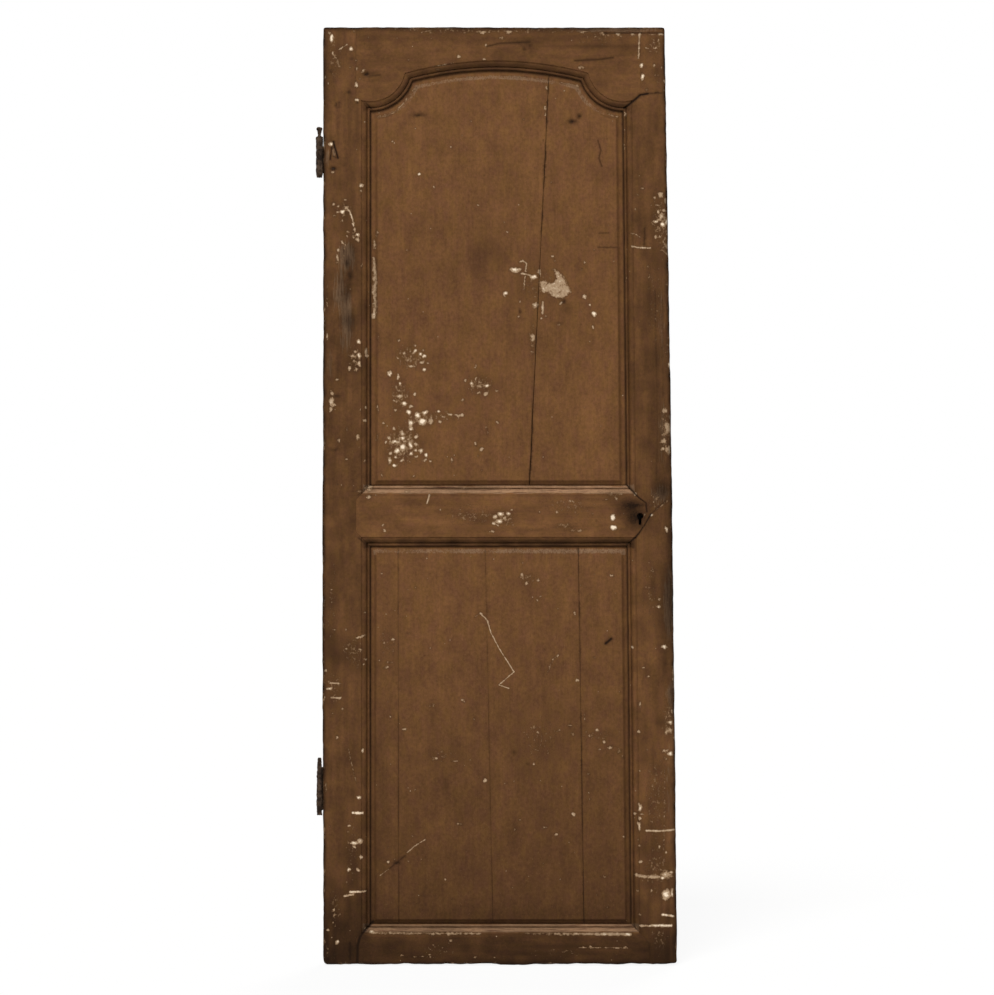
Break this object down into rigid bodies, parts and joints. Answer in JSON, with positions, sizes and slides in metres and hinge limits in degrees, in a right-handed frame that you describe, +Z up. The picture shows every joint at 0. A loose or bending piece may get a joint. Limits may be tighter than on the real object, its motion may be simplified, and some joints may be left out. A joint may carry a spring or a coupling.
{
  "type": "panelled door leaf",
  "caption": "Weathered painted frame-and-panel door leaf with an arched, eared upper panel, lift-off hinge knuckles and a rim lock with a sliding bolt.",
  "frame": {"origin": "on the hinge axis, level with the painted face, at the mouth of the lower knuckle's socket", "axes": "+X from the hinge edge to the lock edge, +Y from the painted face to the back, +Z up along the hinge axis"},
  "size_m": [0.7711, 0.0705, 2],
  "materials": {
    "painted_wood": "worn brown oil paint over pale undercoat, chipped",
    "hinge_iron": "forged, painted over and rubbed",
    "lock_iron": "forged sheet, dull and lightly rusted"
  },
  "bodies": {
    "leaf": {"hinge_stile": "painted_wood", "lock_stile": "painted_wood", "top_rail": "painted_wood", "lock_rail": "painted_wood", "bottom_rail": "painted_wood", "upper_panel_hinge_board": "painted_wood", "upper_panel_lock_board": "painted_wood", "lower_panel_board_1": "painted_wood", "lower_panel_board_2": "painted_wood", "lower_panel_board_3": "painted_wood", "lower_panel_board_4": "painted_wood", "top_rail_pegs": "painted_wood", "lock_rail_pegs": "painted_wood", "bottom_rail_pegs": "painted_wood", "upper_hinge_knuckle": "hinge_iron", "lower_hinge_knuckle": "hinge_iron", "upper_hinge_pins": "hinge_iron", "lower_hinge_pins": "hinge_iron", "lock_case": "lock_iron", "bolt_staple": "lock_iron", "bolt_spring": "lock_iron", "lock_nails": "lock_iron"},
    "bolt": {"lock_bolt": "lock_iron"}
  },
  "joints": [
    {"name": "bolt_throw", "type": "slide", "parent": "leaf", "child": "bolt", "axis": [1, 0, 0], "range_m": [0, 0.018]}
  ]
}
